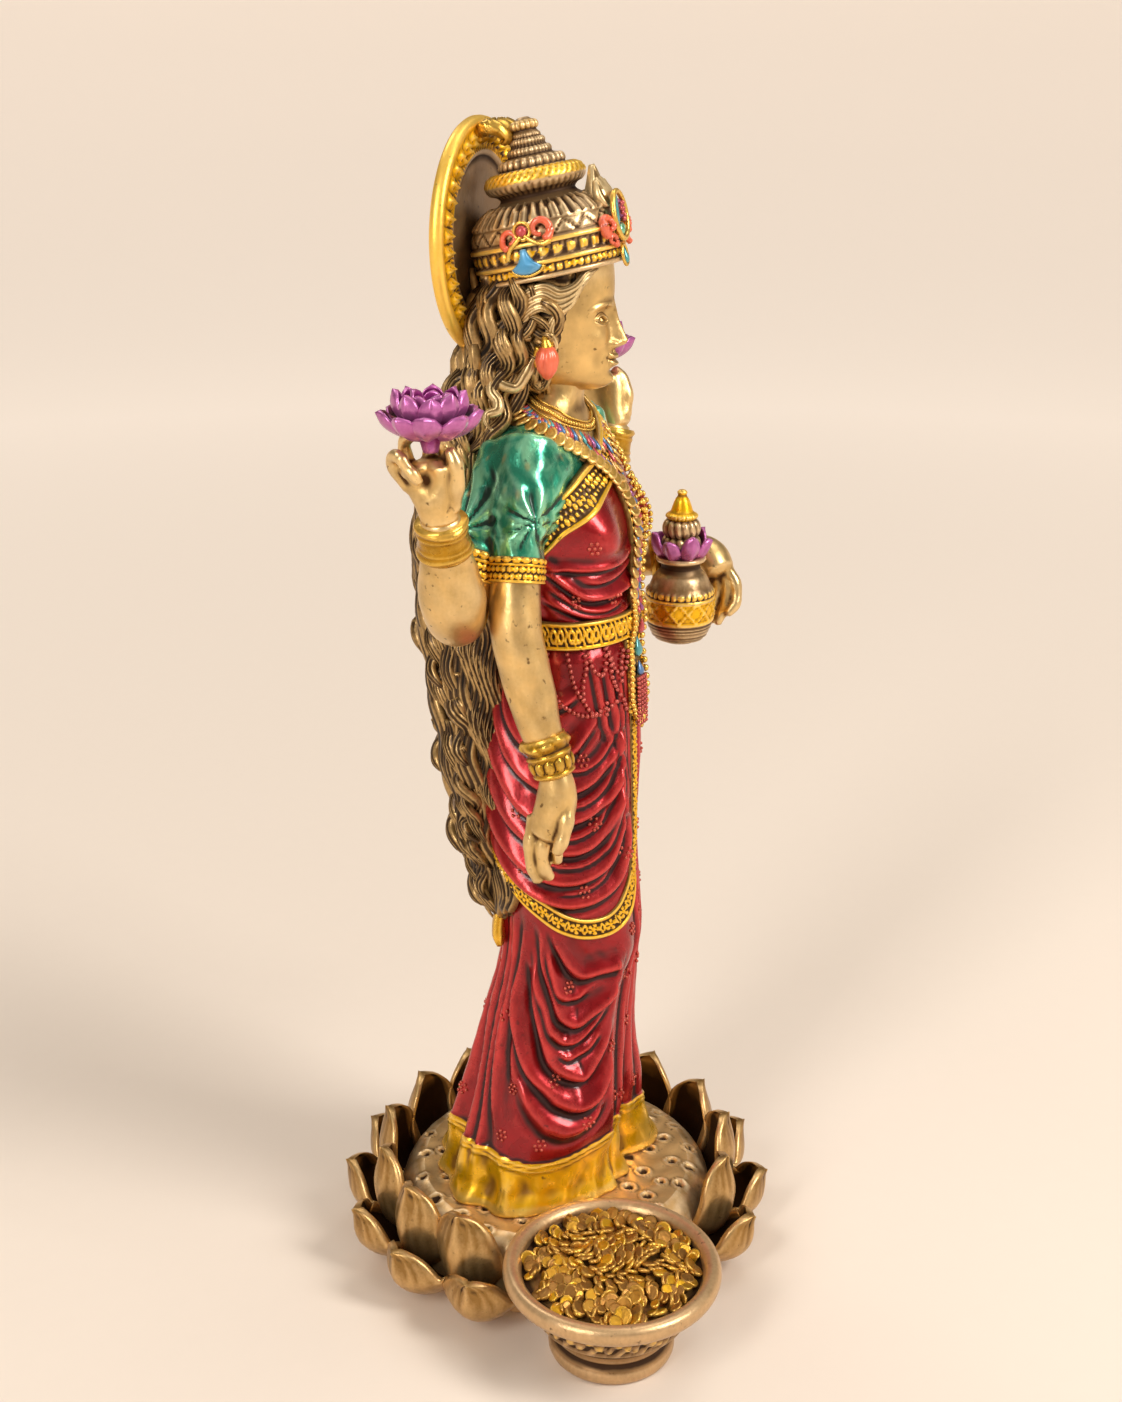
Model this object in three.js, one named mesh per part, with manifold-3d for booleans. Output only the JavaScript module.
// A standing four-armed goddess on a lotus base, with a halo behind her crown and a bowl of coins
// at her feet: a table figure cast in resin, bronzed and painted.
// Millimetres, +Z up. The figure faces -Y, so her own right side is towards -X.
// The origin is the centre of the lotus base's underside.
import * as THREE from "three";
import { mergeVertices } from "three/addons/utils/BufferGeometryUtils.js";
import Module from "manifold-3d";

const wasm = await Module();
wasm.setup();

// Driving sizes of the whole work.
const FIGURE_HEIGHT = 259.7; // hem to the crown's tip
const CLEARANCE = 0.3; // left between castings that touch

// Lotus base.
const POD_HEIGHT = 20;
const POD_RADIUS = 41;
const POD_TOP_RADIUS = 34.5;
const POD_FOOT_RADIUS = 38;
const INNER_PETALS = 12;
const INNER_TIP_RADIUS = 45.5;
const INNER_TIP_HEIGHT = 30.5;
const OUTER_PETALS = 13;
const OUTER_TIP_RADIUS = 54.5;
const OUTER_TIP_HEIGHT = 19;
const PETAL_WIDTH = 17.5;
const PETAL_THICKNESS = 3;

// Coin bowl.
const BOWL_RADIUS = 26;
const BOWL_HEIGHT = 24.5;
const BOWL_LIP = 4.6;
const BOWL_WAIST_RADIUS = 13;
const BOWL_WAIST_HEIGHT = 7.5;
const BOWL_FOOT_RADIUS = 14.5;
const BOWL_FOOT_HEIGHT = 4.5;
const BOWL_DIRECTION = (215 * Math.PI) / 180;
const BOWL_DISTANCE = 51.2;
const COIN_HEAP_HEIGHT = 3.4;
const COIN_RADIUS = 2.5;
const COIN_THICKNESS = 1.1;

// Halo.
const HALO_RADIUS = 25.3;
const HALO_THICKNESS = 3;
const HALO_BORDER = 5.2;
const HALO_DISH = 1.1;
const HALO_CENTRE_HEIGHT = 254.6;
const HALO_CENTRE_BACK = 17.8;

// The figure's tables are in millimetres at this height, and FIGURE_HEIGHT carries her pose and carving
// to any other.
const MODELLED_HEIGHT = 259.7;
const MODELLED_HEM = 20.3;
const SHARE = FIGURE_HEIGHT / MODELLED_HEIGHT;
const HEM_HEIGHT = POD_HEIGHT + CLEARANCE;

const degrees = (angle) => (angle * Math.PI) / 180;
const point = (x, y, z) => new THREE.Vector3(x, y, z);

function toWork(solid) {
  return solid.translate([0, 0, -MODELLED_HEM]).scale([SHARE, SHARE, SHARE]).translate([0, 0, HEM_HEIGHT]);
}

// Turns a closed three.js geometry into a solid with its faces outwards.
function solidOf(geometry) {
  const bare = geometry.index ? geometry.toNonIndexed() : geometry.clone();
  for (const name of Object.keys(bare.attributes)) {
    if (name !== "position") bare.deleteAttribute(name);
  }
  const merged = mergeVertices(bare, 1e-4);
  const index = merged.index.array;
  const faces = [];
  for (let i = 0; i < index.length; i += 3) {
    const [a, b, c] = [index[i], index[i + 1], index[i + 2]];
    if (a !== b && b !== c && c !== a) faces.push(a, b, c);
  }
  const vertProperties = new Float32Array(merged.attributes.position.array);
  const make = (list) =>
    new wasm.Manifold(new wasm.Mesh({ numProp: 3, vertProperties, triVerts: new Uint32Array(list) }));
  const made = make(faces);
  return made.volume() > 0 ? made : make(faces.reverse());
}

function joined(solids) {
  return solids.reduce((whole, next) => whole.add(next));
}

// A casting is solid: pockets sealed between its joined forms are filled.
function whole(solid) {
  return joined(solid.decompose().filter((piece) => piece.volume() > 0));
}

function meshOf(name, solid, color, metalness) {
  const { numProp, vertProperties, triVerts } = solid.getMesh();
  const count = vertProperties.length / numProp;
  const position = new Float32Array(count * 3);
  for (let i = 0; i < count; i++) {
    position.set(vertProperties.subarray(i * numProp, i * numProp + 3), i * 3);
  }
  const geometry = new THREE.BufferGeometry();
  geometry.setAttribute("position", new THREE.BufferAttribute(position, 3));
  geometry.setIndex(new THREE.BufferAttribute(triVerts, 1));
  geometry.computeVertexNormals();
  const material = new THREE.MeshStandardMaterial({ color, roughness: 0.45, metalness });
  const mesh = new THREE.Mesh(geometry, material);
  mesh.name = name;
  return mesh;
}

// A closed skin over rings of equal count, with the first and last ring filled.
function skinned(rings) {
  const round = rings[0].length;
  const middle = (ring) =>
    ring.reduce((sum, p) => sum.add(p), point(0, 0, 0)).divideScalar(ring.length);
  const points = [...rings.flat(), middle(rings[0]), middle(rings[rings.length - 1])];
  const faces = [];
  for (let i = 0; i + 1 < rings.length; i++) {
    for (let j = 0; j < round; j++) {
      const [a, b] = [i * round + j, i * round + ((j + 1) % round)];
      faces.push(a, b, b + round, a, b + round, a + round);
    }
  }
  const last = (rings.length - 1) * round;
  const [start, end] = [points.length - 2, points.length - 1];
  for (let j = 0; j < round; j++) {
    const next = (j + 1) % round;
    faces.push(start, next, j, end, last + j, last + next);
  }
  const geometry = new THREE.BufferGeometry().setFromPoints(points);
  geometry.setIndex(faces);
  return solidOf(geometry);
}

// A limb or lock on a smooth curve through [x, y, z, radius] places, wider across the given direction.
// Lobes cut grooves along it, as between fingers. Swells are [from, to, more] stretches where it is thicker.
function limb(path, shape = {}) {
  const { sides = 8, steps = 8, wide = 1, across = point(1, 0, 0), groove = 0, swells = [] } = shape;
  const curve = new THREE.CatmullRomCurve3(path.map(([x, y, z]) => point(x, y, z)));
  const girth = (t) => between(path.map(([, , , r], i) => [i / (path.length - 1), r]), t)[0];
  const stops = Array.from({ length: steps + 1 }, (_, i) => i / steps);
  for (const [from, to] of swells) stops.push(from - 0.004, from, to, to + 0.004);
  stops.sort((a, b) => a - b);
  const inSwell = (t) => {
    const here = swells.find(([from, to]) => t >= from && t <= to);
    return here ? here[2] : 0;
  };
  const rings = stops.map((t) => {
    const along = curve.getTangent(t);
    const side = across.clone().addScaledVector(along, -across.dot(along)).normalize();
    const over = along.clone().cross(side);
    const radius = girth(t) + inSwell(t);
    return Array.from({ length: sides }, (_, j) => {
      const angle = (2 * Math.PI * (j + 0.5 * (groove ? 0 : 1))) / sides;
      const cut = j % 2 ? 1 : 1 - groove;
      return curve.getPoint(t)
        .addScaledVector(side, Math.cos(angle) * radius * wide)
        .addScaledVector(over, Math.sin(angle) * radius * cut);
    });
  });
  const domed = (ring, out, radius) => {
    const centre = ring.reduce((sum, p) => sum.add(p), point(0, 0, 0)).divideScalar(sides);
    return ring.map((p) => p.clone().lerp(centre, 0.45).addScaledVector(out, radius * 0.6));
  };
  const first = domed(rings[0], curve.getTangent(0).negate(), girth(0));
  const last = domed(rings[rings.length - 1], curve.getTangent(1), girth(1));
  return skinned([first, ...rings, last]);
}

// A round turned form from [radius, height] steps. A step may also say by how much its radius and height
// swing from one side to the next, for flutes and petals.
function turned(profile, round) {
  return skinned(
    profile.map(([radius, height, flute = 0, lift = 0]) =>
      Array.from({ length: round }, (_, j) => {
        const angle = (2 * Math.PI * j) / round;
        const swing = j % 2 ? 1 : -1;
        const reach = radius + swing * flute;
        return point(reach * Math.cos(angle), reach * Math.sin(angle), height + swing * lift);
      }),
    ),
  );
}

function ball([x, y, z], [rx, ry, rz], columns, rows) {
  const geometry = new THREE.SphereGeometry(1, columns, rows).rotateX(Math.PI / 2);
  return solidOf(geometry.scale(rx, ry, rz).translate(x, y, z));
}

// Reads rows of [at, value, value...] at any place between them, smoothly.
function between(table, at) {
  let i = 0;
  while (i < table.length - 2 && at > table[i + 1][0]) i++;
  const [low, high] = [table[i], table[i + 1]];
  const before = table[Math.max(0, i - 1)];
  const after = table[Math.min(table.length - 1, i + 2)];
  const span = high[0] - low[0];
  const t = THREE.MathUtils.clamp((at - low[0]) / span, 0, 1);
  return low.slice(1).map((from, k) => {
    const to = high[k + 1];
    const leave = ((to - before[k + 1]) / (high[0] - before[0])) * span;
    const arrive = ((after[k + 1] - from) / (after[0] - low[0])) * span;
    return (
      (2 * t ** 3 - 3 * t ** 2 + 1) * from +
      (t ** 3 - 2 * t ** 2 + t) * leave +
      (3 * t ** 2 - 2 * t ** 3) * to +
      (t ** 3 - t ** 2) * arrive
    );
  });
}

const smooth = (from, to, value) => THREE.MathUtils.smoothstep(value, from, to);
const bump = (value, centre, width) => Math.exp(-(((value - centre) / width) ** 2));

// One pointed, cupped lotus petal. spine(s) gives [reach, height] from its root to its tip.
function petal(spine, direction, width, thickness, along = 4) {
  const rings = [];
  for (let i = 0; i <= along; i++) {
    const s = (i / along) ** 0.85;
    const [r, z] = spine(s);
    const [r1, z1] = spine(Math.max(0, s - 0.05));
    const [r2, z2] = spine(Math.min(1, s + 0.05));
    const slope = Math.atan2(z2 - z1, r2 - r1);
    const half = (width / 2) * Math.sin(Math.PI * (0.12 + 0.865 * s)) ** 0.45;
    const deep = thickness * (1 - 0.5 * s);
    const cup = 0.45 * half;
    const place = (side, lift) => {
      const reach = r - Math.sin(slope) * lift;
      return point(
        reach * Math.cos(direction) - side * Math.sin(direction),
        reach * Math.sin(direction) + side * Math.cos(direction),
        z + Math.cos(slope) * lift,
      );
    };
    rings.push([
      place(-half, cup),
      place(-half * 0.5, cup * 0.25 - deep * 0.5),
      place(half * 0.5, cup * 0.25 - deep * 0.5),
      place(half, cup),
      place(0, deep * 0.5),
    ]);
  }
  return skinned(rings);
}

// A petal's spine through its named places, as [reach, height].
function spineThrough(places) {
  const curve = new THREE.CatmullRomCurve3(places.map(([r, z]) => point(r, 0, z)));
  return (s) => {
    const p = curve.getPoint(s);
    return [p.x, p.z];
  };
}

// The bowl: a flared dish on a waisted foot, with coins heaped inside its lip in the same casting.
const HEAP_RADIUS = BOWL_RADIUS - BOWL_LIP;
const HEAP_EDGE = BOWL_HEIGHT - 2.6;

function bowlOutside(grow = 0) {
  return [
    [BOWL_FOOT_RADIUS + grow, 0],
    [BOWL_FOOT_RADIUS - 0.4 + grow, BOWL_FOOT_HEIGHT],
    [BOWL_WAIST_RADIUS + grow, BOWL_WAIST_HEIGHT],
    [BOWL_WAIST_RADIUS + 4.5 + grow, BOWL_HEIGHT * 0.46],
    [BOWL_RADIUS - 4.2 + grow, BOWL_HEIGHT - 5.6],
    [BOWL_RADIUS + grow, BOWL_HEIGHT - 2.4],
    [BOWL_RADIUS - 1.4 + grow, BOWL_HEIGHT + grow],
  ];
}

function bowl() {
  const heap = [
    [HEAP_RADIUS, HEAP_EDGE],
    [HEAP_RADIUS * 0.78, HEAP_EDGE + COIN_HEAP_HEIGHT * 0.4, COIN_RADIUS * 0.4, COIN_THICKNESS / 2],
    [HEAP_RADIUS * 0.5, HEAP_EDGE + COIN_HEAP_HEIGHT * 0.75, -COIN_RADIUS * 0.4, COIN_THICKNESS / 2],
    [HEAP_RADIUS * 0.2, HEAP_EDGE + COIN_HEAP_HEIGHT, 0, COIN_THICKNESS / 2],
  ];
  return turned([...bowlOutside(), ...heap], 24);
}

const bowlPlace = [BOWL_DISTANCE * Math.cos(BOWL_DIRECTION), BOWL_DISTANCE * Math.sin(BOWL_DIRECTION), 0];

// The seed pod with two rows of petals, which stop on either side of the bowl.
function lotusBase() {
  const pod = turned(
    [
      [POD_FOOT_RADIUS, 0],
      [POD_RADIUS, 3],
      [POD_RADIUS - 1, POD_HEIGHT - 5],
      [POD_RADIUS - 4, POD_HEIGHT - 1.4],
      [POD_TOP_RADIUS, POD_HEIGHT],
    ],
    28,
  );
  const inner = spineThrough([
    [POD_RADIUS - 5, 4],
    [POD_RADIUS + 2, 9],
    [INNER_TIP_RADIUS, INNER_TIP_HEIGHT - 11],
    [INNER_TIP_RADIUS, INNER_TIP_HEIGHT],
  ]);
  const outer = spineThrough([
    [POD_RADIUS - 4, 3],
    [POD_RADIUS + 4.5, 4.4],
    [OUTER_TIP_RADIUS - 3, OUTER_TIP_HEIGHT - 9.5],
    [OUTER_TIP_RADIUS, OUTER_TIP_HEIGHT],
  ]);
  const solids = [pod];
  for (const [spine, count, spare] of [[inner, INNER_PETALS, 0.75], [outer, OUTER_PETALS, 0.5]]) {
    const halfGap = Math.asin(Math.min(0.95, (BOWL_RADIUS + PETAL_WIDTH * spare) / BOWL_DISTANCE));
    for (let k = 0; k < count; k++) {
      const direction = BOWL_DIRECTION - halfGap - (k / (count - 1)) * 2 * (Math.PI - halfGap);
      solids.push(petal(spine, direction, PETAL_WIDTH, PETAL_THICKNESS, 3));
    }
  }
  const outside = bowlOutside(CLEARANCE);
  const room = [[outside[0][0], -1], ...outside, [outside[outside.length - 1][0], POD_HEIGHT + 20]];
  return joined(solids).subtract(turned(room, 24).translate(bowlPlace));
}

// Body, from hem to neck: rows of [height, half width, half depth, middle from front to back].
const BODY = [
  [20.3, 28, 24.5, 4],
  [33, 25.5, 22.3, 3.4],
  [42, 24, 21.2, 1.6],
  [54, 22, 19.3, 0],
  [66, 20.4, 17.8, -1.6],
  [86, 18.6, 16.2, -4.7],
  [108, 21, 16.4, -4.5],
  [125, 22.2, 16.8, -4],
  [142, 22, 16.4, -3.6],
  [155, 19.8, 15, -4.2],
  [164, 17.4, 13, -4.8],
  [173, 17, 12.8, -4.6],
  [182, 18.6, 13.4, -3.8],
  [192, 20, 13.2, -2.6],
  [203, 20, 11.6, -0.6],
  [211, 18.5, 9.8, 1],
  [216, 14, 8, 1.4],
  [219, 8.6, 6.6, 0.6],
  [222, 6.2, 6, -0.2],
  [230, 5.9, 6, -0.6],
];
const BELT_LOW = 166.4;
const BELT_HIGH = 172.8;
const BELT_THICKNESS = 1.1;
const NECK_ROWS = [216, 219, 222];
const DRAPE_THICKNESS = 1.8;
const DRAPE_PITCH = 16; // from one hanging fold of the drape to the next
const SWAG_PITCH = 17;
const SKIRT_PLEATS = 12;
const ROW_STEP = 8.8;
const BODY_SIDES = 24;

function bodyRows() {
  const low = BODY[0][0];
  const high = BODY[BODY.length - 1][0];
  const rows = [BELT_LOW - 0.5, BELT_LOW, BELT_HIGH, BELT_HIGH + 0.5, ...NECK_ROWS, high];
  for (let z = low; z < NECK_ROWS[0] - 3; z += ROW_STEP) {
    if (z < BELT_LOW - 3 || z > BELT_HIGH + 3) rows.push(z);
  }
  return rows.sort((a, b) => a - b);
}

// Turns about the body are measured in degrees from straight ahead, positive towards her left.
function drapeEdge(turn) {
  return 95 + 22 * Math.abs((turn + 48) / 75) ** 2.2;
}

// How far the cloth and the body under it stand out from the plain section at a place.
function carving(turn, z) {
  const behind = smooth(75, 120, Math.abs(turn));
  const lower = 1 - smooth(20, 95, z);
  const breasts = 4.2 * bump(z, 192, 7.5) * (bump(turn, 34, 20) + bump(turn, -34, 20));
  const pleats = 2.2 * lower * behind * Math.cos(degrees(SKIRT_PLEATS * turn));
  const flare = 4.5 * bump(turn, 34, 15) * (1 - smooth(20, 60, z));
  const opening = 2.6 * bump(turn, 8, 9) * (1 - smooth(25, 80, z));
  const instep = 3 * bump(turn, -42, 24) * (1 - smooth(22, 40, z));
  const knee = 1.2 * bump(turn, -28, 22) * bump(z, 88, 12);
  const onLeft = smooth(4, 16, turn) * (1 - smooth(80, 105, turn)) * (1 - smooth(140, 158, z));
  const fan = 1.5 * onLeft * Math.cos(degrees(SKIRT_PLEATS * turn));
  const sag = z - 0.006 * (turn + 30) ** 2;
  const swagged = bump(turn, -30, 42) * smooth(34, 48, z) * (1 - smooth(80, 92, z));
  const swags = 1.9 * swagged * Math.cos((2 * Math.PI * sag) / SWAG_PITCH);
  const draped = (1 - smooth(0, 8, turn)) * (1 - smooth(150, 160, z)) * smooth(-2, 3, z - drapeEdge(turn));
  const hang = z - 0.011 * (turn + 40) ** 2;
  const drape = draped * (DRAPE_THICKNESS + 1.3 * Math.cos((2 * Math.PI * hang) / DRAPE_PITCH));
  const belt = z >= BELT_LOW && z <= BELT_HIGH ? BELT_THICKNESS : 0;
  return breasts + pleats + flare - opening - instep + knee + fan + swags + drape + belt;
}

function body() {
  return skinned(
    bodyRows().map((z) => {
      const [width, deep, middle] = between(BODY, z);
      return Array.from({ length: BODY_SIDES }, (_, j) => {
        const turn = (360 * j) / BODY_SIDES - 180;
        const [s, c] = [Math.sin(degrees(turn)), Math.cos(degrees(turn))];
        const normal = point(s / width, -c / deep, 0).normalize();
        const out = z < NECK_ROWS[0] ? carving(turn, z) : 0;
        return point(width * s, middle - deep * c, z).addScaledVector(normal, out);
      });
    }),
  );
}

// Head, turned a little to her left, in its own frame: rows of
// [height, half width, reach forward, reach back].
const HEAD_TURN = 12;
const HEAD_ROWS = [
  [221.8, 3.4, 9.2, 2],
  [223.4, 5.8, 12.2, 4.5],
  [225.4, 7.2, 12.7, 6.5],
  [226.8, 8, 13, 8],
  [228.4, 8.7, 13.3, 9],
  [230.6, 9.4, 13, 10.3],
  [232.2, 9.9, 13.3, 11],
  [236, 10.5, 13.2, 12],
  [239.5, 10.9, 12.8, 12.5],
  [242, 11, 13.5, 13],
  [250, 11, 13.2, 13],
];
const HEAD_COLUMNS = [0, 10, 24, 42, 68, 105, 145, 180, -145, -105, -68, -42, -24, -10];

function head() {
  const nose = (z) => 4 * (1 - smooth(232.2, 240.5, z)) * smooth(230.6, 232, z);
  const rings = HEAD_ROWS.map(([z, width, front, back]) =>
    HEAD_COLUMNS.map((turn) => {
      const [s, c] = [Math.sin(degrees(turn)), Math.cos(degrees(turn))];
      const socket = -1 * bump(z, 238.6, 2.4) * bump(Math.abs(turn), 26, 11);
      const forward = c > 0 ? c * front + nose(z) * bump(turn, 0, 9) + socket : c * back;
      return point(width * s * (1 - 0.08 * c), -forward, z);
    }),
  );
  return skinned(rings).rotate([0, 0, HEAD_TURN]).translate([0, 0.2, 0]);
}

// Hair, round the head and down the back in wavy locks: rows of [height, half width, half depth, middle].
const HAIR = [
  [87, 3.4, 2.6, 9.4],
  [92, 6.2, 4.6, 10.2],
  [102, 8.6, 6.4, 12],
  [116, 10.8, 8.4, 14.6],
  [130, 13, 9.6, 16.6],
  [145, 14.6, 10.4, 18.2],
  [160, 15.4, 11, 19.6],
  [176, 16, 11.4, 20.6],
  [190, 16.4, 11.2, 20],
  [202, 16, 9.6, 18.6],
  [214, 14.6, 8.8, 15],
  [224, 14, 9.8, 10.8],
  [232, 14, 11.2, 6.7],
  [240, 14, 12, 5.2],
  [250, 12.6, 11, 4],
];
const HAIR_LEAN = 5; // the tip hangs this far towards her right
const LOCKS = 6;
const LOCK_WAVE = 24;
const LOCK_SWAY = 7;
const LOCK_DEPTH = 1.5;
const HAIR_ROW_STEP = 9;

function hair() {
  const rings = [];
  const [low, high] = [HAIR[0][0], HAIR[HAIR.length - 1][0]];
  for (let z = low; z < high; z += HAIR_ROW_STEP) {
    const [width, deep, middle] = between(HAIR, z);
    const lean = -HAIR_LEAN * (1 - smooth(90, 180, z));
    const waving = (1 - smooth(218, 230, z)) * LOCK_SWAY;
    const ring = [-1, 1].map((side) => point(lean + side * width * 0.8, middle - deep * 0.62, z));
    for (let j = 0; j <= 2 * LOCKS; j++) {
      const wave = waving * Math.sin((2 * Math.PI * z) / LOCK_WAVE + 0.9 * j);
      const turn = degrees(115 * (1 - j / LOCKS) + wave);
      const ridge = (j % 2 ? LOCK_DEPTH : -LOCK_DEPTH * 0.6) * smooth(low, low + 9, z);
      ring.push(point(lean + (width + ridge) * Math.sin(turn), middle + (deep + ridge) * Math.cos(turn), z));
    }
    rings.push(ring);
  }
  const solids = [skinned(rings)];
  for (const side of [-1, 1]) {
    const path = [[13, 5, 227, 2.2], [15.5, 2.5, 221, 2], [18.5, 4.5, 217.5, 1.8], [21.5, -1, 212, 1.2]];
    solids.push(limb(path.map(([x, y, z, r]) => [side * x, y, z, r]), { sides: 4, steps: 5, wide: 1.2 }));
  }
  return solids;
}

// Crown, leaning back: rows of [radius, height above its rim, how far every other flute stands out].
const CROWN_LEAN = 10;
const CROWN_RIM = [0, 0.4, 248];
const CROWN = [
  [15.6, -0.8],
  [17.1, 0],
  [17, 6],
  [17.2, 9.6],
  [15, 12, 0.5],
  [8.6, 15],
  [8.4, 16.6],
  [10.6, 19.8],
  [9, 22.6],
  [6.7, 24.2, 0.4],
  [4.4, 26.2],
  [2.6, 28.8],
  [3, 30.4],
  [1.2, 32.3],
];
const CROWN_SIDES = 14;

function crown() {
  const solids = [turned(CROWN, CROWN_SIDES)];
  const crest = [[0, -15, 9, 3.4], [0, -15.4, 13, 3], [0, -14.2, 18.4, 0.7]];
  solids.push(limb(crest, { sides: 5, steps: 2, wide: 1.1 }), ball([0, -17.4, 7], [3.8, 1.6, 5.2], 7, 4));
  return solids.map((solid) => solid.rotate([-CROWN_LEAN, 0, 0]).translate(CROWN_RIM));
}

// Arms, as [x, y, z, radius] at the shoulder, sleeve, elbow, forearm and wrist.
const LOWERED = [
  [-14, 1, 212, 7.6],
  [-23.6, -0.4, 200, 7],
  [-31.2, -2, 177, 5.3],
  [-32.8, -6, 160, 4.7],
  [-32.4, -10.5, 143, 3.4],
];
const RAISED = [
  [-13, 5, 210, 7],
  [-27, 8, 190, 6.6],
  [-35.4, 9.9, 172.5, 6],
  [-42, 8.6, 184, 6.5],
  [-49, 6.6, 200, 4.4],
];
const RAISED_LEFT = [
  [13, 5, 210, 7],
  [27, 7.4, 190, 6.6],
  [36, 8.8, 172.5, 6],
  [42, 5.6, 184, 6.5],
  [47.5, 1.2, 200, 4.4],
];
const HOLDING = [
  [14, 1, 212, 7.6],
  [23.6, 0, 199, 7],
  [31.6, -0.6, 176, 5.5],
  [37.4, -9, 173.4, 4.7],
  [41, -20, 175.4, 3.5],
];
// Where the raised hands end, round the stems of their flowers.
const RAISED_TOP = [-51.8, 7.8, 219];
const RAISED_LEFT_TOP = [50, 8.4, 219];
// Swells along an arm, as [from, to, how much thicker].
const CUFF = [0.36, 0.42, 1.3];
const BANGLE = [0.86, 0.95, 1.3];
const BRACELET = [0.88, 0.97, 1.7];

function arm(path, ornament) {
  return limb(path, { sides: 7, steps: 5, across: point(0, 1, 0), swells: [CUFF, ornament] });
}

function finger(path, radius) {
  const tapered = path.map(([x, y, z], i) => [x, y, z, radius * (1 - 0.14 * i)]);
  return limb(tapered, { sides: 4, steps: 2, across: point(0.3, 1, 0.2) });
}

// The lowered right hand hangs open with its fingers together and its thumb in front.
function loweredHand() {
  const hand = [
    [-32.5, -10.6, 142, 3.2],
    [-33.3, -10.6, 135.5, 4.4],
    [-34.2, -10, 129, 4.3],
    [-35.2, -10, 122, 3.3],
    [-34.4, -10.2, 117.6, 1.9],
  ];
  return [
    limb(hand, { sides: 10, steps: 5, wide: 1.25, across: point(0.2, 1, 0), groove: 0.2 }),
    finger([[-33.4, -14.2, 136], [-36, -15.4, 131], [-37, -14.4, 126.4]], 2),
  ];
}

// A raised hand closes its fingers upwards round the stem of a lotus in flower.
function raisedHand([wx, wy, wz, girth], [x, y, z], outward) {
  const up = (share, out, fore, radius) => [
    THREE.MathUtils.lerp(wx, x, share) + out * outward,
    THREE.MathUtils.lerp(wy, y, share) - fore,
    THREE.MathUtils.lerp(wz, z, share),
    radius,
  ];
  const palm = [up(0.1, 0, 0, girth), up(0.45, 0, 0, 6.4), up(0.75, -0.6, 0, 5.4)];
  const fingers = [up(0.45, 3.4, 0, 3), up(0.76, 5, 0, 3), up(1.04, 2, 0, 2.2)];
  const thumb = [up(0.4, -1.6, 6, 2.1), up(0.7, -2.2, 6.6, 1.9), up(1, -1, 3.4, 1.5)];
  return [
    limb(palm, { sides: 6, steps: 2, wide: 1.25, across: point(0, 1, 0) }),
    limb(fingers, { sides: 10, steps: 2, wide: 2.5, across: point(0, 1, 0), groove: 0.3 }),
    limb(thumb, { sides: 4, steps: 2 }),
    lotus().translate([x, y, z + 3]),
  ];
}

function lotus() {
  return turned(
    [
      [1.8, -4],
      [2.4, -0.5],
      [5.4, 1.2],
      [9.2, 3],
      [10.4, 6.4, 0.9, 0.8],
      [7.6, 5.6],
      [8, 10, 0.7, 0.8],
      [5.6, 8],
      [2.6, 7.4],
    ],
    10,
  );
}

// The jar of plenty in her front left hand, with petals round its mouth and a cone on top.
const JAR_PLACE = [29, -22, 155.8];

function jar() {
  return turned(
    [
      [3.4, 0],
      [6.8, 2],
      [8, 6.6],
      [8, 12],
      [6.4, 17.4],
      [4.6, 19.4],
      [5.6, 21.4],
      [6, 25, 0.7, 1],
      [4.4, 24],
      [5, 27.4],
      [3.2, 31],
      [3.5, 33],
      [1.1, 37.8],
    ],
    10,
  ).translate(JAR_PLACE);
}

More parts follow.
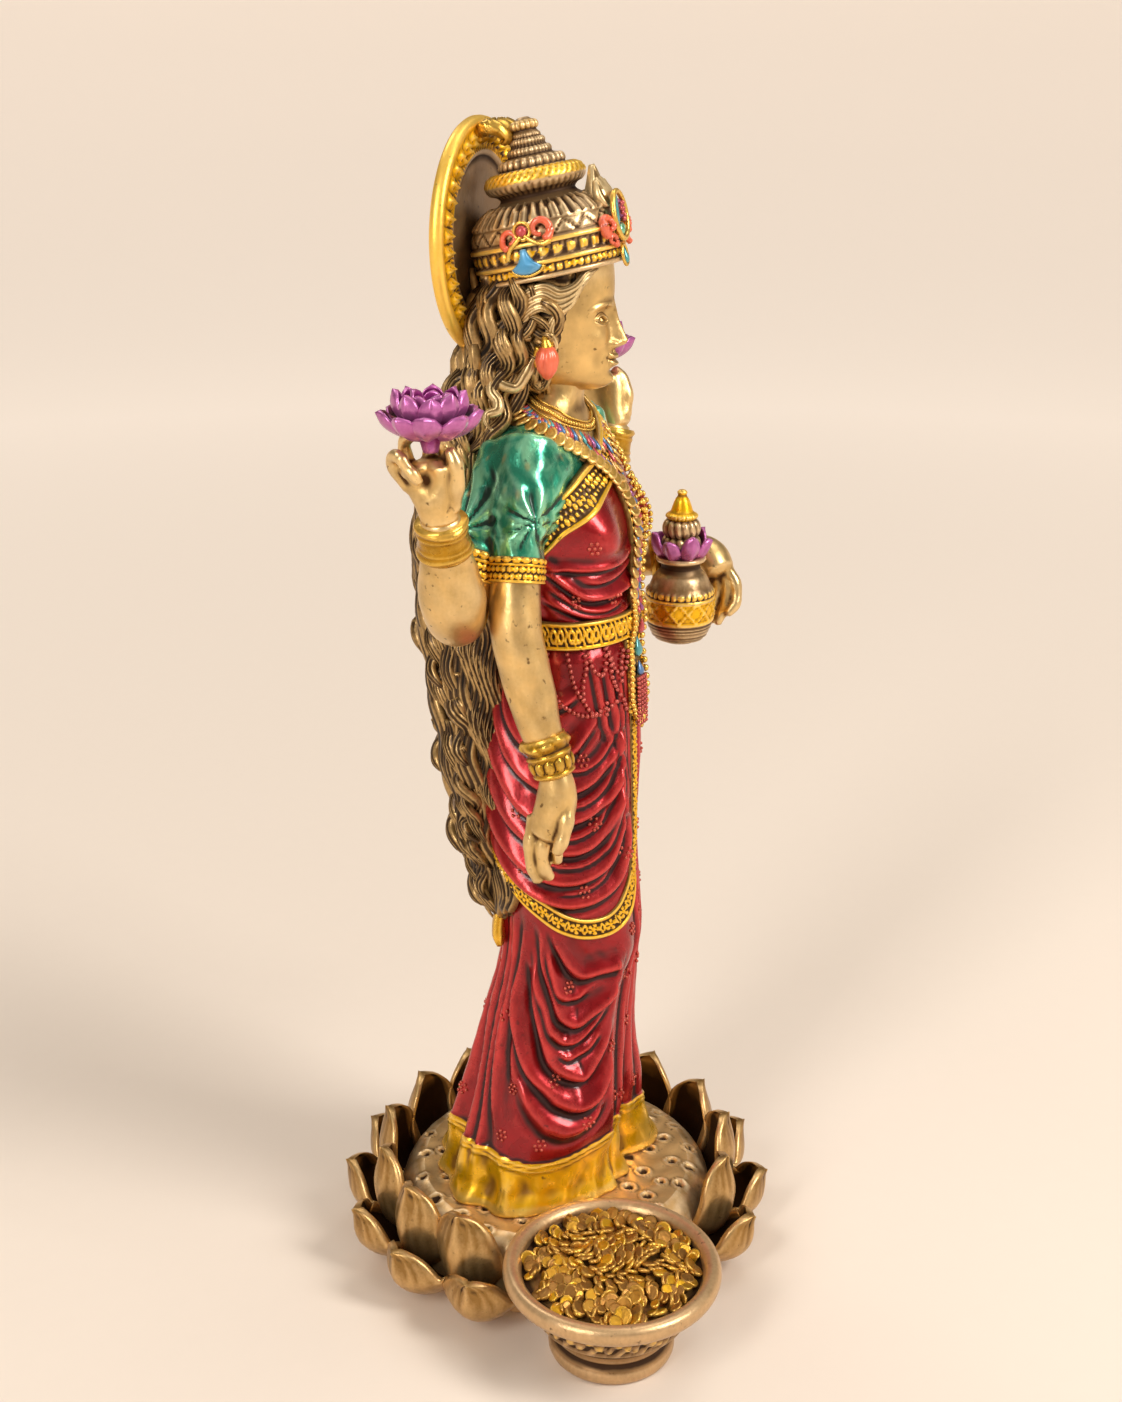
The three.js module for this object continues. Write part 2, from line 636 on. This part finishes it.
// Her front left hand closes round the jar from outside, fingers down.
function holdingHand() {
  const [x, y, z] = JAR_PLACE;
  const at = (angle, reach, height, radius) => [
    x + reach * Math.cos(degrees(angle)),
    y + reach * Math.sin(degrees(angle)),
    z + height,
    radius,
  ];
  const palm = [[x + 12, y + 2, z + 19.6, 3.3], at(-22, 11.2, 19.4, 3.8), at(-46, 10.6, 16, 3.8)];
  const fingers = [at(-44, 10.8, 17, 2.6), at(-48, 11, 9.5, 2.3), at(-50, 8.6, 2.4, 1.9)];
  return [
    limb(palm, { sides: 6, steps: 3, wide: 1.1, across: point(0.6, -0.6, 0.6) }),
    limb(fingers, { sides: 10, steps: 2, wide: 2.6, across: point(0.7, 0.7, 0), groove: 0.3 }),
    finger([[x + 11, y + 3.4, z + 18], [x + 9.6, y + 3.8, z + 12.5], [x + 7.6, y + 4.6, z + 8]], 2),
  ];
}

// The jewelled strip with its chains that hangs down her front, and her earrings.
function jewellery() {
  const strip = [[0, -8.6, 213, 1.4], [0.3, -16.4, 192, 1.5], [0.8, -18.8, 165, 1.5], [1, -20.4, 143.5, 1.1]];
  const solids = [limb(strip, { sides: 4, steps: 5, wide: 4 })];
  for (const side of [-1, 1]) solids.push(ball([side * 12.2, 0.4 * side, 230], [2.4, 2.2, 3.2], 5, 4));
  return solids;
}

function figure() {
  return toWork(
    joined([
      body(),
      head(),
      ...hair(),
      ...crown(),
      arm(LOWERED, BANGLE),
      arm(RAISED, BRACELET),
      arm(RAISED_LEFT, BRACELET),
      arm(HOLDING, BANGLE),
      ...loweredHand(),
      ...raisedHand(RAISED[4], RAISED_TOP, -1),
      ...raisedHand(RAISED_LEFT[4], RAISED_LEFT_TOP, 1),
      ...holdingHand(),
      jar(),
      ...jewellery(),
    ]),
  );
}

// The halo is a dished disc with a thick border, standing upright behind the crown.
function halo(grow = 0) {
  const [r, half] = [HALO_RADIUS + grow, HALO_THICKNESS / 2 + grow];
  const dish = grow > 0 ? 0 : HALO_DISH;
  return turned(
    [
      [r - 1.2, -half],
      [r, -half + 1],
      [r - 0.6, half - 0.4],
      [r - HALO_BORDER, half],
      [r - HALO_BORDER - 1.4, half - dish],
    ],
    28,
  )
    .rotate([90, 0, 0])
    .translate([0, HALO_CENTRE_BACK, HALO_CENTRE_HEIGHT]);
}

const work = new THREE.Group();
work.add(meshOf("lotus_base", lotusBase(), 0x8a6a35, 0.8));
work.add(meshOf("coin_bowl", bowl().translate(bowlPlace), 0x9a7340, 0.8));
work.add(meshOf("figure", whole(figure().subtract(toWork(halo(CLEARANCE)))), 0xa01830, 0.4));
work.add(meshOf("halo", toWork(halo()), 0xb08a3c, 0.9));

export default work;
